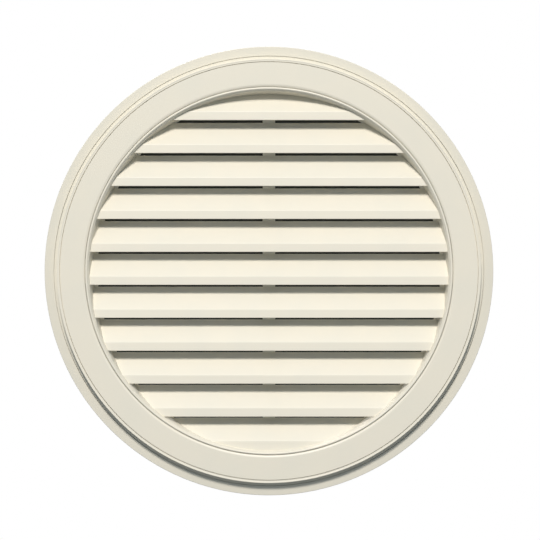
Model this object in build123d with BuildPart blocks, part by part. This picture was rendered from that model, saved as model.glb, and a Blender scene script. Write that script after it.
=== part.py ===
from build123d import *
import os
from math import atan2, cos, radians, sin, sqrt

os.makedirs("parts", exist_ok=True)

# Louvre field: the front faces -Y, the wall plane is Y = 0, sizes are in millimetres
opening_d = 558.8
louvre_count = 11
lip_h = 13.4
lip_lean = 0.9
slot_gap = 3.0
louvre_depth = 25.0
louvre_t = 2.6
stack_lift = 3.9
lip_edge_r = 0.7
crease_r = 1.4

# Collar with its front bead, and the mounting flange
flange_t = 3.0
flange_show = 15.2
flange_edge_r = 0.8
collar_t = 2.8
collar_step = 2.4
collar_taper = 4.0
bead_w = 3.7
bead_drop = 1.6
bead_side = 3.2
screw_hole_d = 4.8
screw_count = 8
seam_w = 1.5
seam_depth = 1.8
seam_under = 0.4

# Rear ledge, centre strip and screen recess
ledge_t = 2.6
slot_end_land = 10.9
end_ledge_w = 10.7
mullion_w = 19.2
recess_h = 2.4

# Trim ring section, from the collar's bead outwards
ring_stand = 13.6
ring_t = 3.8
nose_setback = 7.2
bead_gap = 0.6
shoulder_w = 4.4
shoulder_drop = 1.2
face_w = 33.2
groove_w = 1.7
groove_depth = 2.4
groove_floor_w = 0.2
outer_bead_w = 3.4
outer_bead_drop = 0.4
wall_t = 2.4
wall_rake = 0.3
cove_r = 0.6
toe_w = 3.9
toe_t = 1.3
leg_t = 2.2
leg_len = 0.8

# Clip hooks of the trim ring
hook_count = 8
hook_w = 39.0
hook_gap = 0.3
barb_catch = 1.2
barb_w = 2.0
barb_flat = 0.8

# Insect screen and its heat stakes
screen_t = 0.8
screen_gap = 0.6
mesh_cells = 12
mesh_bar = 6.0
stake_d = 3.2
stake_head_d = 5.2
stake_head_h = 1.2
stake_inset = 3.4
stake_gap = 0.3
stake_sink = 0.5
side_stake_angles = [-22.0, -11.0, 0.0, 11.0, 22.0]
end_stake_angles = [75.0, 85.0, 95.0, 105.0]
overrun = 5.0

# Planes across the depth
y_face = -(flange_t + ring_stand)
y_bead = y_face + bead_drop
y_neck = y_bead + bead_side
y_nose = y_face + nose_setback
y_ledge = y_nose + louvre_depth
y_seat = y_ledge + ledge_t
y_rear = y_seat + recess_h
y_ring_back = y_face + ring_t
y_leg_end = y_ring_back + leg_len
y_barb = y_neck + hook_gap

# Radii from the opening outwards
opening_r = opening_d / 2
collar_r = opening_r - collar_step
r_bead_end = opening_r + bead_w
leg_in_r = r_bead_end + bead_gap
r_face_in = leg_in_r + shoulder_w
r_face_out = r_face_in + face_w
r_outer_bead = r_face_out + groove_w
r_wall_top = r_outer_bead + outer_bead_w
r_wall_foot = r_wall_top + wall_rake
r_toe = r_wall_foot + cove_r + toe_w
flange_r = r_toe + flange_show
screw_circle_r = r_face_in + face_w / 2


def bore_r(y):
    """Radius of the collar's tapered bore at depth y."""
    return collar_r - collar_taper * (y - y_nose) / louvre_depth


def collar_out_r(y):
    """Radius of the collar's outside at depth y."""
    return bore_r(y) + collar_t


louvre_pitch = opening_d / louvre_count
nose_heights = [stack_lift - opening_r + i * louvre_pitch for i in range(louvre_count)]
slope_h = louvre_pitch - lip_h - slot_gap
slope_run = louvre_depth - lip_lean
slope_rise = slope_h / slope_run
slope_setback = louvre_t / sin(atan2(slope_h, slope_run))
y_crease = y_nose + lip_lean
end_ledge_z = nose_heights[-1] + lip_h / 2
stake_circle_r = bore_r(y_seat) - stake_inset
end_angles = end_stake_angles + [angle + 180 for angle in end_stake_angles]
side_angles = side_stake_angles + [angle + 180 for angle in side_stake_angles]
stake_places = [
    (stake_circle_r * cos(radians(angle)), stake_circle_r * sin(radians(angle)))
    for angle in side_angles + end_angles
]
stake_places += [(0, z + louvre_pitch / 2) for z in nose_heights[1:-1:2]]

# One louvre: leaning lip, crease and slope, with its tip flush with the rear ledge
with BuildSketch(Plane.YZ) as louvre:
    back_crease_z = lip_h + (louvre_t - slope_setback) * slope_rise
    back_tip_z = lip_h + (slope_run + ledge_t - slope_setback) * slope_rise
    with BuildLine():
        Polyline(
            (y_nose, 0),
            (y_crease, lip_h),
            (y_ledge, lip_h + slope_h),
            (y_seat, lip_h + slope_h),
            (y_seat, back_tip_z),
            (y_crease + louvre_t, back_crease_z),
            (y_nose + louvre_t, 0),
            close=True,
        )
    make_face()
    fillet(louvre.vertices().sort_by_distance((y_crease, lip_h))[0], radius=crease_r)
    fillet(louvre.vertices().group_by(Axis.Y)[0], radius=lip_edge_r)

# Vent base: louvres, collar, flange, ledge and stakes in one moulding
with BuildPart() as vent_base:
    for z in nose_heights:
        extrude(louvre.sketch.moved(Location((0, 0, z))), amount=flange_r, both=True)
    # the lowest lip runs down into the collar
    with BuildSketch(Plane.YZ):
        with BuildLine():
            Polyline(
                (y_nose + lip_lean / 2, nose_heights[0] + lip_h / 2),
                (y_nose - lip_lean / 2, nose_heights[0] - lip_h / 2),
                (y_nose - lip_lean / 2 + louvre_t, nose_heights[0] - lip_h / 2),
                (y_nose + lip_lean / 2 + louvre_t, nose_heights[0] + lip_h / 2),
                close=True,
            )
        make_face()
    extrude(amount=flange_r, both=True)
    # everything so far ends inside the collar's wall
    with BuildSketch(Plane.XY):
        with BuildLine():
            Polyline(
                (0, y_neck),
                (collar_r + collar_t / 2, y_neck),
                (bore_r(y_seat) + collar_t / 2, y_seat),
                (0, y_seat),
                close=True,
            )
        make_face()
    revolve(axis=Axis.Y, mode=Mode.INTERSECT)
    # collar with its front bead, and the flange with a seam around the trim ring's foot
    with BuildSketch(Plane.XY) as shell:
        with BuildLine():
            Polyline(
                (opening_r, y_bead),
                (collar_r, y_bead + collar_step),
                (collar_r, y_nose),
                (bore_r(y_rear), y_rear),
                (collar_out_r(y_rear), y_rear),
                (collar_out_r(0), 0),
                (flange_r, 0),
                (flange_r, -flange_t),
                (r_toe + seam_w, -flange_t),
                (r_toe + seam_w, seam_depth - flange_t),
                (r_toe - seam_under, seam_depth - flange_t),
                (r_toe - seam_under, -flange_t),
                (collar_out_r(-flange_t), -flange_t),
                (collar_out_r(y_nose), y_nose),
                (collar_out_r(y_nose), y_neck),
                (r_bead_end, y_neck),
                (r_bead_end, y_bead),
            )
            ThreePointArc(
                (r_bead_end, y_bead),
                (opening_r + bead_w / 2, y_face),
                (opening_r, y_bead),
            )
        make_face()
        fillet(shell.vertices().group_by(Axis.X)[-1].sort_by(Axis.Y)[0], radius=flange_edge_r)
    revolve(axis=Axis.Y)
    # rear ledge: a crescent at both sides, a band at top and bottom, and the centre strip
    with BuildSketch(Plane.XZ.offset(-y_seat)) as ledge:
        Circle(bore_r(y_seat) + collar_t / 2)
        with BuildSketch(mode=Mode.PRIVATE) as slot_field:
            with Locations((slot_end_land, 0)):
                Circle(collar_r)
            with Locations((-slot_end_land, 0)):
                Circle(collar_r, mode=Mode.INTERSECT)
        with BuildSketch(mode=Mode.PRIVATE) as clear_field:
            Circle(bore_r(y_seat) - end_ledge_w)
            Rectangle(2 * flange_r, 2 * end_ledge_z)
        add(slot_field.sketch & clear_field.sketch, mode=Mode.SUBTRACT)
        with BuildSketch(mode=Mode.PRIVATE) as strip:
            Rectangle(mullion_w, 2 * flange_r)
            Circle(bore_r(y_seat) + collar_t / 2, mode=Mode.INTERSECT)
        add(strip.sketch)
    extrude(amount=ledge_t)
    # heat stakes through the screen
    with BuildSketch(Plane.XZ.offset(-(y_seat + screen_t))):
        with Locations(*stake_places):
            Circle(stake_d / 2)
    extrude(amount=screen_t + stake_sink)
    with BuildSketch(Plane.XZ.offset(-(y_seat + screen_t + stake_head_h))):
        with Locations(*stake_places):
            Circle(stake_head_d / 2)
    extrude(amount=stake_head_h)
    # screw holes under the trim ring
    with BuildSketch(Plane.XZ.offset(overrun)):
        with PolarLocations(screw_circle_r, screw_count, start_angle=180 / screw_count):
            Circle(screw_hole_d / 2)
    extrude(amount=-2 * overrun, mode=Mode.SUBTRACT)

# Trim ring: flat face with a rounded inner shoulder, groove and outer bead, wall on a foot, inner leg
leg_out_r = leg_in_r + leg_t
barb_r = r_bead_end - barb_catch
y_toe = -flange_t - toe_t
y_groove = y_face + groove_depth
groove_in = (groove_w - groove_floor_w) / 2
shoulder_r = (shoulder_w**2 + shoulder_drop**2) / (2 * shoulder_drop)
half_turn = atan2(shoulder_drop, shoulder_w)
with BuildPart() as trim_ring:
    with BuildSketch(Plane.XY):
        with BuildLine():
            Line((leg_in_r, y_barb), (leg_in_r, y_face + shoulder_drop))
            ThreePointArc(
                (leg_in_r, y_face + shoulder_drop),
                (
                    r_face_in - shoulder_r * sin(half_turn),
                    y_face + shoulder_r * (1 - cos(half_turn)),
                ),
                (r_face_in, y_face),
            )
            Polyline(
                (r_face_in, y_face),
                (r_face_out, y_face),
                (r_face_out + groove_in, y_groove),
                (r_outer_bead - groove_in, y_groove),
                (r_outer_bead, y_face + outer_bead_drop),
            )
            ThreePointArc(
                (r_outer_bead, y_face + outer_bead_drop),
                (r_outer_bead + outer_bead_w / 2, y_face),
                (r_wall_top, y_face + outer_bead_drop),
            )
            Line((r_wall_top, y_face + outer_bead_drop), (r_wall_foot, y_toe - cove_r))
            RadiusArc((r_wall_foot, y_toe - cove_r), (r_wall_foot + cove_r, y_toe), cove_r)
            Polyline(
                (r_wall_foot + cove_r, y_toe),
                (r_toe, y_toe),
                (r_toe, -flange_t),
                (r_wall_foot - wall_t, -flange_t),
                (r_wall_top - wall_t, y_ring_back),
                (leg_out_r, y_ring_back),
                (leg_out_r, y_barb + barb_w),
                (leg_in_r, y_barb + barb_w),
                (barb_r, y_barb + barb_flat),
                (barb_r, y_barb),
                (leg_in_r, y_barb),
            )
        make_face()
    revolve(axis=Axis.Y)
    # the leg's barbed end is cut away between the hooks
    with BuildSketch(Plane.XZ.offset(-y_leg_end)):
        Circle(leg_out_r + overrun)
        Circle(leg_in_r - overrun, mode=Mode.SUBTRACT)
        with PolarLocations(leg_in_r, hook_count):
            Rectangle(4 * overrun, hook_w, mode=Mode.SUBTRACT)
    extrude(amount=-(y_barb + barb_w + overrun - y_leg_end), mode=Mode.SUBTRACT)

# Insect screen: a thin sheet on the ledge with a plain grid of openings in place of its weave
with BuildPart() as insect_screen:
    clear_r = bore_r(y_seat) - end_ledge_w
    mesh_step = 2 * clear_r / mesh_cells
    columns = [(i - (mesh_cells - 1) / 2) * mesh_step for i in range(mesh_cells)]
    cells = [(x, z) for x in columns for z in columns if sqrt(x**2 + z**2) < clear_r - mesh_bar]
    with BuildSketch(Plane.XZ.offset(-(y_seat + screen_t))):
        Circle(bore_r(y_rear) - screen_gap)
        with Locations(*stake_places):
            Circle(stake_d / 2 + stake_gap, mode=Mode.SUBTRACT)
        with BuildSketch(mode=Mode.PRIVATE) as openwork:
            with Locations(*cells):
                Rectangle(mesh_step - mesh_bar, mesh_step - mesh_bar)
            Circle(clear_r, mode=Mode.INTERSECT)
        add(openwork.sketch, mode=Mode.SUBTRACT)
    extrude(amount=screen_t)

vent_base.part.label = "vent_base"
trim_ring.part.label = "trim_ring"
insect_screen.part.label = "insect_screen"
export_step(vent_base.part, "parts/vent_base.step")
export_step(trim_ring.part, "parts/trim_ring.step")
export_step(insect_screen.part, "parts/insect_screen.step")
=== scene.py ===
# Round gable vent: louvred base, clip-on trim ring and built-in screen, seen square from the front
from math import asin, cos, pi, radians, sin, sqrt

import bmesh
import bpy
from mathutils import Matrix, Vector


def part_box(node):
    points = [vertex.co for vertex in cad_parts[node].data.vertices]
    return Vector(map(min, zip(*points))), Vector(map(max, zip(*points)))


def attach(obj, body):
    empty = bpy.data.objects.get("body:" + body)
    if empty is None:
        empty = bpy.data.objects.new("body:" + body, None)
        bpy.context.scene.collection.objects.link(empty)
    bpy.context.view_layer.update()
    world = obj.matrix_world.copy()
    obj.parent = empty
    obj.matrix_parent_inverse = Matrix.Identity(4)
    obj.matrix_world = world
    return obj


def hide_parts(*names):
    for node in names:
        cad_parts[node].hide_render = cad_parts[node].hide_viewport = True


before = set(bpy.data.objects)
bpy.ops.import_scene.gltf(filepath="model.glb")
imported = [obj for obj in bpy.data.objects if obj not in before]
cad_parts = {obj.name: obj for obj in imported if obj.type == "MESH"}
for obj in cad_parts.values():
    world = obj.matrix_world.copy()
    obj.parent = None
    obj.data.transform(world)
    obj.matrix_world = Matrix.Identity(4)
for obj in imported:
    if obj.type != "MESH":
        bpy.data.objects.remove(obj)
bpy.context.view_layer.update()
mm = 0.001
scene = bpy.context.scene
scene.view_settings.view_transform = "Standard"
print("frame loaded:", sorted(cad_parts))


# shader maths: a wrapped socket, so that values are written as plain expressions
class Value:
    def __init__(self, sheet, socket):
        self.sheet = sheet
        self.socket = socket

    def maths(self, operation, a, b):
        return self.sheet.node("ShaderNodeMath", {"operation": operation}, {0: a, 1: b})

    def __add__(self, other):
        return self.maths("ADD", self, other)

    def __radd__(self, other):
        return self.maths("ADD", other, self)

    def __sub__(self, other):
        return self.maths("SUBTRACT", self, other)

    def __rsub__(self, other):
        return self.maths("SUBTRACT", other, self)

    def __mul__(self, other):
        return self.maths("MULTIPLY", self, other)

    def __rmul__(self, other):
        return self.maths("MULTIPLY", other, self)

    def between(self, low, high):
        return self.sheet.node(
            "ShaderNodeMapRange",
            {"interpolation_type": "SMOOTHSTEP"},
            {"Value": self, "From Min": low, "From Max": high},
        )


# one node tree: node() makes any node from its type, its settings and its sockets
class Sheet:
    def __init__(self, owner):
        owner.use_nodes = True
        self.tree = owner.node_tree
        self.tree.nodes.clear()

    def node(self, kind, settings=None, inputs=None, output=0):
        made = self.tree.nodes.new(kind)
        for name, value in (settings or {}).items():
            setattr(made, name, value)
        for name, value in (inputs or {}).items():
            if isinstance(value, Value):
                self.tree.links.new(value.socket, made.inputs[name])
            else:
                made.inputs[name].default_value = value
        return Value(self, made.outputs[output]) if len(made.outputs) else made

    # the colour sockets of a Mix node are its inputs 6 and 7 and its output 2
    def mix(self, factor, a, b, blend="MIX"):
        settings = {"data_type": "RGBA", "blend_type": blend}
        return self.node("ShaderNodeMix", settings, {0: factor, 6: a, 7: b}, 2)

    def noise(self, place, size, detail, rough):
        inputs = {"Vector": place, "Scale": 1 / size, "Detail": detail, "Roughness": rough}
        return self.node("ShaderNodeTexNoise", None, inputs)


def newMaterial(name):
    material = bpy.data.materials.new(name)
    return material, Sheet(material)


# cream moulding: a fine moulded grain, and broad flow marks that drift a little in tone and shine
mouldingLook = {
    "colour": (0.81, 0.761, 0.64, 1),
    "cool": (0.785, 0.746, 0.634, 1),
    "coolFrom": 0.3,
    "coolTo": 0.75,
    "flowSize": 60 * mm,
    "flowDetail": 3,
    "flowRough": 0.55,
    "flowShine": 0.08,
    "grainSize": 0.45 * mm,
    "grainDetail": 2,
    "grainRough": 0.6,
    "grainShine": 0.12,
    "grainHeight": 0.012 * mm,
    "grainStrength": 0.5,
    "roughness": 0.42,
    "ior": 1.49,
    # painted shade beside the ring's wall: the radii where it comes in, and the tone it multiplies the
    # colour by
    "paintedShadeFrom": 326.8 * mm,
    "paintedShadeTo": 327.6 * mm,
    "paintedShadeTone": (0.93, 0.935, 0.94, 1),
}


def mouldedPlastic(name, look):
    material, sheet = newMaterial(name)
    place = sheet.node("ShaderNodeTexCoord", output="Object")
    flow = sheet.noise(place, look["flowSize"], look["flowDetail"], look["flowRough"])
    grain = sheet.noise(place, look["grainSize"], look["grainDetail"], look["grainRough"])
    cooler = flow.between(look["coolFrom"], look["coolTo"])
    colour = sheet.mix(cooler, look["colour"], look["cool"])
    # painted shade: the flange and the ring's foot, low beside the ring's raised wall, are darkened a
    # touch below the rest
    flat = sheet.node("ShaderNodeVectorMath", {"operation": "MULTIPLY"}, {0: place, 1: (1, 0, 1)})
    reach = sheet.node("ShaderNodeVectorMath", {"operation": "LENGTH"}, {0: flat}, "Value")
    inPaintedShade = reach.between(look["paintedShadeFrom"], look["paintedShadeTo"])
    colour = sheet.mix(inPaintedShade, colour, look["paintedShadeTone"], "MULTIPLY")
    grainShine = (grain - 0.5) * look["grainShine"]
    flowShine = (flow - 0.5) * look["flowShine"]
    roughness = look["roughness"] + grainShine + flowShine
    bump = sheet.node(
        "ShaderNodeBump",
        None,
        {"Strength": look["grainStrength"], "Distance": look["grainHeight"], "Height": grain},
    )
    shader = sheet.node(
        "ShaderNodeBsdfPrincipled",
        None,
        {"Base Color": colour, "Roughness": roughness, "Normal": bump, "IOR": look["ior"]},
    )
    sheet.node("ShaderNodeOutputMaterial", None, {"Surface": shader})
    return material


# charcoal coating of the screen's yarn, with a faint fleck
yarnLook = {
    "dark": (0.012, 0.012, 0.011, 1),
    "pale": (0.03, 0.03, 0.028, 1),
    "fleckSize": 3 * mm,
    "fleckDetail": 2,
    "fleckRough": 0.5,
    "fleckShine": 0.2,
    "roughness": 0.45,
}


def meshYarn(name, look):
    material, sheet = newMaterial(name)
    place = sheet.node("ShaderNodeTexCoord", output="Object")
    fleck = sheet.noise(place, look["fleckSize"], look["fleckDetail"], look["fleckRough"])
    colour = sheet.mix(fleck, look["dark"], look["pale"])
    roughness = look["roughness"] + fleck * look["fleckShine"]
    shader = sheet.node(
        "ShaderNodeBsdfPrincipled", None, {"Base Color": colour, "Roughness": roughness}
    )
    sheet.node("ShaderNodeOutputMaterial", None, {"Surface": shader})
    return material


creamPlastic = mouldedPlastic("creamPlastic", mouldingLook)
charcoalYarn = meshYarn("charcoalYarn", yarnLook)
print("materials made")


def addObject(name, bm, material):
    mesh = bpy.data.meshes.new(name)
    bm.to_mesh(mesh)
    bm.free()
    mesh.materials.append(material)
    thing = bpy.data.objects.new(name, mesh)
    scene.collection.objects.link(thing)
    return thing


def addTo(bm, other):
    mesh = bpy.data.meshes.new("part")
    other.to_mesh(mesh)
    other.free()
    bm.from_mesh(mesh)
    bpy.data.meshes.remove(mesh)


# edges turned by more degrees than this stay crisp, and flat faces keep their normals beside round ones
def shadeMoulding(piece, crisp=32):
    piece.data.shade_smooth()
    piece.data.set_sharp_from_angle(angle=radians(crisp))
    even = piece.modifiers.new("evenNormals", "WEIGHTED_NORMAL")
    even.keep_sharp = True


# an arc to the end point: a positive radius turns left, a negative one right
def drawArc(bm, start, end, radius, steps):
    chord = end - start.co
    half = chord.length / 2
    aside = Vector((-chord.y, chord.x, 0)).normalized()
    rise = sqrt(radius**2 - half**2)
    made = bmesh.ops.spin(
        bm,
        geom=[start],
        cent=(start.co + end) / 2 + aside * (rise if radius > 0 else -rise),
        axis=(0, 0, 1),
        angle=2 * asin(half / radius),
        steps=steps,
    )
    return made["geom_last"][0]


# a closed section in the plane of radius and depth: points, and arcs as an end point with a radius
def drawSection(bm, moves, arcSteps=10):
    last = None
    for move in moves:
        spot = Vector((move[0], move[1], 0))
        if last is None:
            first = last = bm.verts.new(spot)
        elif len(move) == 2:
            last = bmesh.ops.extrude_vert_indiv(bm, verts=[last])["verts"][0]
            last.co = spot
        else:
            last = drawArc(bm, last, spot, move[2], arcSteps)
    bm.edges.new((last, first))


# rounds those corners of a section that turn by more than the least angle, in degrees
def softenCorners(bm, offset, least=25):
    corners = []
    for vert in bm.verts:
        a, b = (edge.other_vert(vert).co - vert.co for edge in vert.link_edges)
        if a.angle(-b) > radians(least):
            corners.append(vert)
    bmesh.ops.bevel(
        bm,
        geom=corners,
        offset=offset,
        segments=2,
        profile=0.5,
        affect="VERTICES",
        material=-1,
    )


def spinSection(bm, steps, weld=0.001):
    bmesh.ops.spin(
        bm,
        geom=bm.verts[:] + bm.edges[:],
        cent=(0, 0, 0),
        axis=(0, 1, 0),
        angle=2 * pi,
        steps=steps,
        use_merge=True,
    )
    bmesh.ops.remove_doubles(bm, verts=bm.verts, dist=weld)
    bmesh.ops.recalc_face_normals(bm, faces=bm.faces)


# trim ring, in mm, from its inner leg outwards over the face and back along its hollow underside
trimRing = {
    "steps": 288,
    "edgeRound": 0.12,
    "section": [
        (283.7, -12.0),
        (283.7, -15.1),
        (288.1, -16.6, 7.2),  # rounded shoulder
        (321.5, -16.6),  # flat face
        (321.65, -13.6),  # groove
        (322.3, -13.6),
        (322.45, -16.3),
        (324.4, -16.3),
        (326.4, -16.47, 2.55),  # outer bead
        (326.7, -4.9),  # outer wall
        (327.3, -4.3, -0.6),  # cove
        (331.2, -4.3),  # foot
        (331.2, -3.0),
        (324.3, -3.0),
        (324.0, -12.8),  # underside
        (285.9, -12.8),
        (285.9, -12.0),
    ],
    "hook": [
        (285.9, -12.2),
        (285.9, -9.5),
        (283.7, -9.5),
        (281.9, -10.7),
        (281.9, -11.5),
        (283.7, -11.5),
        (283.7, -12.2),
    ],
    "hooks": 8,
    "hookWidth": 39.0,
    "hookSteps": 8,
}


def buildTrimRing(sizes):
    bm = bmesh.new()
    drawSection(bm, sizes["section"])
    softenCorners(bm, sizes["edgeRound"])
    spinSection(bm, sizes["steps"])
    for i in range(sizes["hooks"]):
        hook = bmesh.new()
        drawSection(hook, sizes["hook"])
        bmesh.ops.contextual_create(hook, geom=hook.edges)
        sweep = sizes["hookWidth"] / sizes["hook"][0][0]
        turn = Matrix.Rotation(2 * pi * i / sizes["hooks"] - sweep / 2, 3, "Y")
        bmesh.ops.rotate(hook, matrix=turn, verts=hook.verts)
        bmesh.ops.spin(
            hook,
            geom=hook.verts[:] + hook.edges[:] + hook.faces[:],
            axis=(0, 1, 0),
            angle=sweep,
            steps=sizes["hookSteps"],
        )
        bmesh.ops.recalc_face_normals(hook, faces=hook.faces)
        addTo(bm, hook)
    bmesh.ops.scale(bm, vec=(mm, mm, mm), verts=bm.verts)
    piece = addObject("trimRing", bm, creamPlastic)
    shadeMoulding(piece)
    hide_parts("trim_ring")
    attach(piece, "root")


buildTrimRing(trimRing)
print("trim ring built")


# vent base, in mm: flange, collar with a front bead, louvres, rear ledge with centre strip, stakes
ventBase = {
    "steps": 288,
    "bore": 277.0,
    "taper": 4.0 / 25,
    "wall": 2.8,
    "yNose": -9.4,
    "yLedge": 15.6,
    "ySeat": 18.2,
    "yRear": 20.6,
    "flare": (277.3, -12.3),  # where the bead runs out into the bore
    "bead": (283.1, -15.0, -11.8),  # outer side: radius, front and back
    "beadArc": (279.4, -15.0, -1.87),  # rounded front: end point and radius
    "flange": 346.4,
    "flangeThick": 3.0,
    "flangeRound": 0.8,
    "seam": (330.6, 332.1, -0.7),  # inner and outer radius, floor
    "edgeRound": 0.25,
    "screws": 8,
    "screwCircle": 304.7,
    "screwHole": 2.4,
    "screwSides": 32,
    "drillDepth": 12.0,
    "louvres": 11,
    "firstNose": -275.5,
    "pitch": 50.8,
    "lip": 13.4,
    "lipLean": 0.9,
    "lipDrop": 2.4,
    "slope": 34.4,
    "bladeThick": 2.6,
    "lipRound": 0.7,
    "creaseRound": 0.55,
    "tipRound": 0.3,
    "roundSteps": 4,
    "longEdge": 4.0,
    "edgeStep": 3.0,
    "topCut": 273.8,
    "slotLand": 10.9,
    "bandWidth": 10.7,
    "bandHeight": 239.2,
    "stripWidth": 19.2,
    "stripEnd": 272.0,
    "stakeInset": 3.4,
    "stakeAngles": [-22, -11, 0, 11, 22, 75, 85, 95, 105],
    "stakeHead": 2.6,
    "stakeHeight": 1.2,
    "stakeSides": 20,
    "stakeRows": 10,
    "screenFace": 19.0,
}


def boreRadius(sizes, y):
    return sizes["bore"] - sizes["taper"] * (y - sizes["yNose"])


def wallMiddle(sizes, y):
    return boreRadius(sizes, y) + sizes["wall"] / 2


def collarAndFlange(sizes):
    bm = bmesh.new()
    nose, rear, thick, soft = (sizes[k] for k in ("yNose", "yRear", "flangeThick", "flangeRound"))
    bead, beadTop, beadBack = sizes["bead"]
    seamIn, seamOut, seamFloor = sizes["seam"]
    edge = sizes["flange"]
    wall = sizes["wall"]
    section = [
        sizes["flare"],
        (boreRadius(sizes, nose), nose),
        (boreRadius(sizes, rear), rear),
        (boreRadius(sizes, rear) + wall, rear),
        (boreRadius(sizes, 0) + wall, 0),
        (edge, 0),
        (edge, soft - thick),
        (edge - soft, -thick, -soft),
        (seamOut, -thick),
        (seamOut, seamFloor),
        (seamIn, seamFloor),
        (seamIn, -thick),
        (boreRadius(sizes, -thick) + wall, -thick),
        (boreRadius(sizes, nose) + wall, nose),
        (boreRadius(sizes, nose) + wall, beadBack),
        (bead, beadBack),
        (bead, beadTop),
        sizes["beadArc"],
    ]
    drawSection(bm, section)
    softenCorners(bm, sizes["edgeRound"])
    spinSection(bm, sizes["steps"])
    return bm


def screwHoles(bm, sizes):
    drill = bmesh.new()
    across = Matrix.Rotation(radians(90), 4, "X")
    for i in range(sizes["screws"]):
        turn = 2 * pi * (i + 0.5) / sizes["screws"]
        spot = Vector((cos(turn), 0, sin(turn))) * sizes["screwCircle"]
        bmesh.ops.create_cone(
            drill,
            cap_ends=True,
            segments=sizes["screwSides"],
            radius1=sizes["screwHole"],
            radius2=sizes["screwHole"],
            depth=sizes["drillDepth"],
            matrix=Matrix.Translation(spot) @ across,
        )
    body = addObject("body", bm, creamPlastic)
    knife = addObject("knife", drill, creamPlastic)
    cut = body.modifiers.new("cut", "BOOLEAN")
    cut.operation = "DIFFERENCE"
    cut.solver = "EXACT"
    cut.object = knife
    seen = body.evaluated_get(bpy.context.evaluated_depsgraph_get())
    drilled = bmesh.new()
    drilled.from_mesh(seen.data)
    for thing in (body, knife):
        data = thing.data
        bpy.data.objects.remove(thing)
        bpy.data.meshes.remove(data)
    return drilled


# one louvre: its section is rounded, drawn out along X and ended inside the collar's wall
def louvre(sizes, number):
    nose = sizes["firstNose"] + number * sizes["pitch"]
    foot = -sizes["lipDrop"] if number == 0 else 0
    front, ledge, seat = sizes["yNose"], sizes["yLedge"], sizes["ySeat"]
    lip, lean, thick = sizes["lip"], sizes["lipLean"], sizes["bladeThick"]
    crease = front + lean
    rise = sizes["slope"] / (ledge - crease)
    setback = thick * sqrt(1 + rise * rise) / rise
    corners = [
        (front + foot * lean / lip, foot, sizes["lipRound"]),
        (crease, lip, sizes["creaseRound"]),
        (ledge, lip + sizes["slope"], sizes["tipRound"]),
        (seat, lip + sizes["slope"], sizes["tipRound"]),
        (seat, lip + (seat - crease - setback) * rise, sizes["tipRound"]),
        (crease + thick, lip + (thick - setback) * rise, sizes["creaseRound"]),
        (front + thick + foot * lean / lip, foot, sizes["lipRound"]),
    ]
    bm = bmesh.new()
    verts = [bm.verts.new((0, y, nose + z)) for y, z, soft in corners]
    bm.faces.new(verts)
    for vert, (y, z, soft) in zip(verts, corners):
        bmesh.ops.bevel(
            bm,
            geom=[vert],
            offset=soft,
            segments=sizes["roundSteps"],
            profile=0.5,
            affect="VERTICES",
            material=-1,
        )
    bmesh.ops.delete(bm, geom=bm.faces[:], context="FACES_ONLY")
    for edge in [edge for edge in bm.edges if edge.calc_length() > sizes["longEdge"]]:
        cuts = int(edge.calc_length() / sizes["edgeStep"])
        bmesh.ops.subdivide_edges(bm, edges=[edge], cuts=cuts)
    bmesh.ops.contextual_create(bm, geom=bm.edges[:])
    bmesh.ops.bisect_plane(
        bm,
        geom=bm.verts[:] + bm.edges[:] + bm.faces[:],
        plane_co=(0, 0, sizes["topCut"]),
        plane_no=(0, 0, 1),
        clear_outer=True,
    )
    made = bmesh.ops.extrude_face_region(bm, geom=bm.faces[:], use_keep_orig=True)
    far = {item for item in made["geom"] if isinstance(item, bmesh.types.BMVert)}
    for vert in bm.verts:
        half = sqrt(wallMiddle(sizes, vert.co.y) ** 2 - vert.co.z**2)
        vert.co.x = half if vert in far else -half
    bmesh.ops.recalc_face_normals(bm, faces=bm.faces)
    return bm


# ledge that the screen lies on: a crescent at both sides, a band at top and bottom
def rearLedge(sizes):
    bm = bmesh.new()
    seat = sizes["ySeat"]
    steps = sizes["steps"]
    bmesh.ops.create_circle(bm, segments=steps, radius=wallMiddle(sizes, seat))
    inner = bmesh.ops.create_circle(bm, segments=steps, radius=sizes["bandHeight"])["verts"]
    bmesh.ops.bridge_loops(bm, edges=bm.edges[:])
    land = sizes["slotLand"]
    for vert in inner:
        way = vert.co.normalized()
        across, up = abs(way.x), abs(way.y)
        slotEnd = sqrt(sizes["bore"] ** 2 - (land * up) ** 2) - land * across
        band = boreRadius(sizes, seat) - sizes["bandWidth"]
        if up > 0:
            band = max(band, sizes["bandHeight"] / up)
            slotEnd = min(slotEnd, band)
        vert.co = way * slotEnd
    bmesh.ops.rotate(bm, matrix=Matrix.Rotation(radians(90), 3, "X"), verts=bm.verts)
    bmesh.ops.translate(bm, vec=(0, seat, 0), verts=bm.verts)
    made = bmesh.ops.extrude_face_region(bm, geom=bm.faces[:], use_keep_orig=True)
    moved = [item for item in made["geom"] if isinstance(item, bmesh.types.BMVert)]
    bmesh.ops.translate(bm, vec=(0, sizes["yLedge"] - seat, 0), verts=moved)
    bmesh.ops.recalc_face_normals(bm, faces=bm.faces)
    return bm


def centreStrip(sizes):
    bm = bmesh.new()
    bmesh.ops.create_cube(bm, size=1)
    depth = sizes["ySeat"] - sizes["yLedge"]
    bmesh.ops.scale(bm, vec=(sizes["stripWidth"], depth, 2 * sizes["stripEnd"]), verts=bm.verts)
    bmesh.ops.translate(bm, vec=(0, sizes["ySeat"] - depth / 2, 0), verts=bm.verts)
    bmesh.ops.bevel(
        bm,
        geom=bm.edges[:],
        offset=sizes["tipRound"],
        segments=2,
        profile=0.5,
        affect="EDGES",
        material=-1,
    )
    return bm


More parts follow.
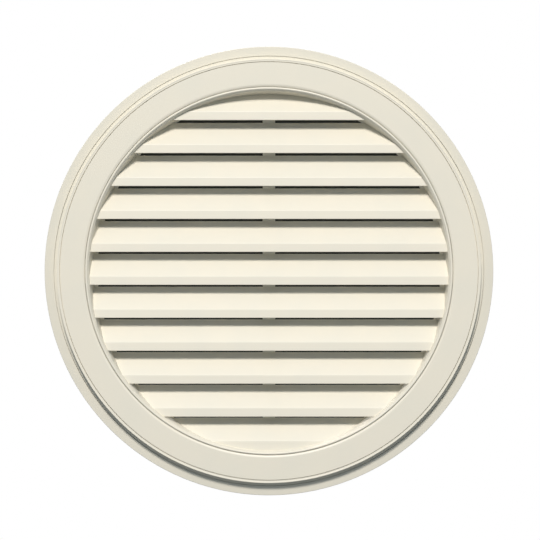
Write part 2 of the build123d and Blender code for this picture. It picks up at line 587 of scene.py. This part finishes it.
# melted heads of the stakes that hold the screen
def heatStakes(sizes):
    bm = bmesh.new()
    turns = [radians(a + half) for a in sizes["stakeAngles"] for half in (0, 180)]
    circle = boreRadius(sizes, sizes["ySeat"]) - sizes["stakeInset"]
    spots = [(circle * cos(a), circle * sin(a)) for a in turns]
    for i in range(1, sizes["louvres"] - 1, 2):
        spots.append((0, sizes["firstNose"] + (i + 0.5) * sizes["pitch"]))
    head = sizes["stakeHead"]
    for x, z in spots:
        place = Matrix.Translation((x, sizes["screenFace"], z))
        shape = Matrix.Diagonal((head, sizes["stakeHeight"], head, 1))
        across = Matrix.Rotation(radians(90), 4, "X")
        bmesh.ops.create_uvsphere(
            bm,
            u_segments=sizes["stakeSides"],
            v_segments=sizes["stakeRows"],
            radius=1,
            matrix=place @ shape @ across,
        )
    return bm


def buildVentBase(sizes):
    bm = screwHoles(collarAndFlange(sizes), sizes)
    for number in range(sizes["louvres"]):
        addTo(bm, louvre(sizes, number))
    addTo(bm, rearLedge(sizes))
    addTo(bm, centreStrip(sizes))
    addTo(bm, heatStakes(sizes))
    bmesh.ops.scale(bm, vec=(mm, mm, mm), verts=bm.verts)
    piece = addObject("ventBase", bm, creamPlastic)
    shadeMoulding(piece)
    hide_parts("vent_base")
    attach(piece, "root")


buildVentBase(ventBase)
print("vent base built")


# insect screen, in mm: coated yarn both ways, laid on the ledge
insectScreen = {
    "radius": 271.5,
    "pitch": 1.8,
    "yarn": 0.17,
    "yAcross": 18.4,
    "yUp": 18.7,
    "sides": 6,
}


def buildInsectScreen(sizes):
    bm = bmesh.new()
    flat = Matrix.Rotation(radians(90), 4, "Y")
    count = int(sizes["radius"] / sizes["pitch"])
    for i in range(-count, count + 1):
        at = i * sizes["pitch"]
        length = 2 * sqrt(sizes["radius"] ** 2 - at * at)
        for place in (
            Matrix.Translation((0, sizes["yAcross"], at)) @ flat,
            Matrix.Translation((at, sizes["yUp"], 0)),
        ):
            bmesh.ops.create_cone(
                bm,
                cap_ends=True,
                segments=sizes["sides"],
                radius1=sizes["yarn"],
                radius2=sizes["yarn"],
                depth=length,
                matrix=place,
            )
    bmesh.ops.scale(bm, vec=(mm, mm, mm), verts=bm.verts)
    piece = addObject("insectScreen", bm, charcoalYarn)
    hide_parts("insect_screen")
    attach(piece, "root")


buildInsectScreen(insectScreen)
print("insect screen built")


# studio, in m: white surroundings, pale floor well below the vent, a dark card of painted shade behind
# the louvre slots
studio = {
    "floorDrop": 0.85,
    "floorSize": 14.0,
    "shadowNear": 1.4,
    "shadowFar": 3.2,
    "shadowShare": 0.4,
    "floorColour": (0.86, 0.86, 0.86, 1),
    "floorBounce": (0.14, 0.155, 0.17, 1),
    "cardRadius": 276 * mm,
    "cardSides": 96,
    "cardGap": 3 * mm,
    # painted shade: the near-black colour the card shows for the dark loft
    "paintedShadeColour": (0.012, 0.013, 0.009, 1),
    "surroundings": (0.66, 0.84, 1.0, 1),
    "surroundStrength": 0.35,
    "white": (1, 1, 1, 1),
}


# 1 for rays that see the background itself, 0 for those that carry its light to the vent
def shownWhite(sheet):
    paths = sheet.node("ShaderNodeLightPath").socket.node.outputs
    names = ("Is Camera Ray", "Is Glossy Ray", "Is Transmission Ray")
    camera, glossy, through = (Value(sheet, paths[name]) for name in names)
    return camera.maths("MAXIMUM", camera.maths("MAXIMUM", camera, glossy), through)


def buildSurroundings(setup):
    world = bpy.data.worlds.new("studioWorld")
    scene.world = world
    sheet = Sheet(world)
    soft = sheet.node(
        "ShaderNodeBackground",
        None,
        {"Color": setup["surroundings"], "Strength": setup["surroundStrength"]},
    )
    white = sheet.node("ShaderNodeBackground", None, {"Color": setup["white"], "Strength": 1})
    both = sheet.node("ShaderNodeMixShader", None, {0: shownWhite(sheet), 1: soft, 2: white})
    sheet.node("ShaderNodeOutputWorld", None, {"Surface": both})


# the floor fades to plain white away from the vent, and keeps a share of the shadow near it
def buildFloor(setup):
    material, sheet = newMaterial("paleFloor")
    place = sheet.node("ShaderNodeTexCoord", output="Object")
    reach = sheet.node("ShaderNodeVectorMath", {"operation": "LENGTH"}, {0: place}, "Value")
    seen = shownWhite(sheet)
    far = reach.between(setup["shadowNear"], setup["shadowFar"])
    glow = seen * (1 - (1 - far) * setup["shadowShare"])
    bounce = sheet.node("ShaderNodeBsdfDiffuse", None, {"Color": setup["floorBounce"]})
    pale = sheet.node("ShaderNodeBsdfDiffuse", None, {"Color": setup["floorColour"]})
    matt = sheet.node("ShaderNodeMixShader", None, {0: seen, 1: bounce, 2: pale})
    white = sheet.node("ShaderNodeEmission", None, {"Color": setup["white"], "Strength": 1})
    both = sheet.node("ShaderNodeMixShader", None, {0: glow, 1: matt, 2: white})
    sheet.node("ShaderNodeOutputMaterial", None, {"Surface": both})
    bm = bmesh.new()
    bmesh.ops.create_grid(bm, x_segments=1, y_segments=1, size=setup["floorSize"])
    floor = addObject("floor", bm, material)
    floor.location = (0, 0, -setup["floorDrop"])


# painted shade: a near-black card stands for the dark loft behind the slots; only the camera sees it,
# and only from the front
def buildPaintedShadeCard(setup):
    material, sheet = newMaterial("paintedLoftShade")
    fromBehind = sheet.node("ShaderNodeNewGeometry", output="Backfacing")
    dark = sheet.node("ShaderNodeEmission", None, {"Color": setup["paintedShadeColour"], "Strength": 1})
    clear = sheet.node("ShaderNodeBsdfTransparent")
    both = sheet.node("ShaderNodeMixShader", None, {0: fromBehind, 1: dark, 2: clear})
    sheet.node("ShaderNodeOutputMaterial", None, {"Surface": both})
    bm = bmesh.new()
    bmesh.ops.create_circle(
        bm, cap_ends=True, segments=setup["cardSides"], radius=setup["cardRadius"]
    )
    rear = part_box("vent_base")[1].y + setup["cardGap"]
    turn = Matrix.Rotation(radians(90), 4, "X")
    bmesh.ops.transform(bm, matrix=Matrix.Translation((0, rear, 0)) @ turn, verts=bm.verts)
    card = addObject("paintedShadeCard", bm, material)
    card.visible_diffuse = False
    card.visible_glossy = False
    card.visible_transmission = False
    card.visible_shadow = False


buildSurroundings(studio)
buildFloor(studio)
buildPaintedShadeCard(studio)
print("studio built")


# lamps: a key from above the camera, a little to the left, and a weaker one high behind for the back
lamps = {
    "keyLamp": {
        "power": 1116,
        "size": 2.35,
        "distance": 11.0,
        "elevation": 37,
        "azimuth": -3.5,
        "colour": (1, 0.953, 0.904),
    },
    "backLamp": {
        "power": 300,
        "size": 1.5,
        "distance": 7.0,
        "elevation": 53,
        "azimuth": 205,
        "colour": (1, 0.948, 0.9),
    },
}


def aimAt(thing, target):
    direction = Vector(target) - thing.location
    thing.rotation_euler = direction.to_track_quat("-Z", "Y").to_euler()


def addLamp(name, setup):
    data = bpy.data.lights.new(name, "AREA")
    data.shape = "DISK"
    data.size = setup["size"]
    data.energy = setup["power"]
    data.color = setup["colour"]
    lamp = bpy.data.objects.new(name, data)
    scene.collection.objects.link(lamp)
    up, side = radians(setup["elevation"]), radians(setup["azimuth"])
    reach = setup["distance"]
    lamp.location = (
        reach * cos(up) * sin(side),
        -reach * cos(up) * cos(side),
        reach * sin(up),
    )
    aimAt(lamp, (0, 0, 0))


for lampName, lampSetup in lamps.items():
    addLamp(lampName, lampSetup)
print("lamps set")


# camera square to the front: distance and centre in pixels of the picture, each of which is
# pixelSize wide on the ring's face
view = {
    "pixels": 540,
    "pixelSize": 1.5385 * mm,
    "distancePixels": 2500,
    "centreX": 268.95,
    "centreY": 270.95,
    "sensor": 36,
    "clipEnd": 100,
}


def addCamera(setup):
    data = bpy.data.cameras.new("photoCamera")
    data.sensor_width = setup["sensor"]
    data.lens = setup["distancePixels"] / setup["pixels"] * setup["sensor"]
    data.clip_end = setup["clipEnd"]
    camera = bpy.data.objects.new("photoCamera", data)
    scene.collection.objects.link(camera)
    half = setup["pixels"] / 2
    camera.location = (
        (half - setup["centreX"]) * setup["pixelSize"],
        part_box("trim_ring")[0].y - setup["distancePixels"] * setup["pixelSize"],
        (setup["centreY"] - half) * setup["pixelSize"],
    )
    camera.rotation_euler = (radians(90), 0, 0)
    scene.camera = camera


addCamera(view)
print("camera set")
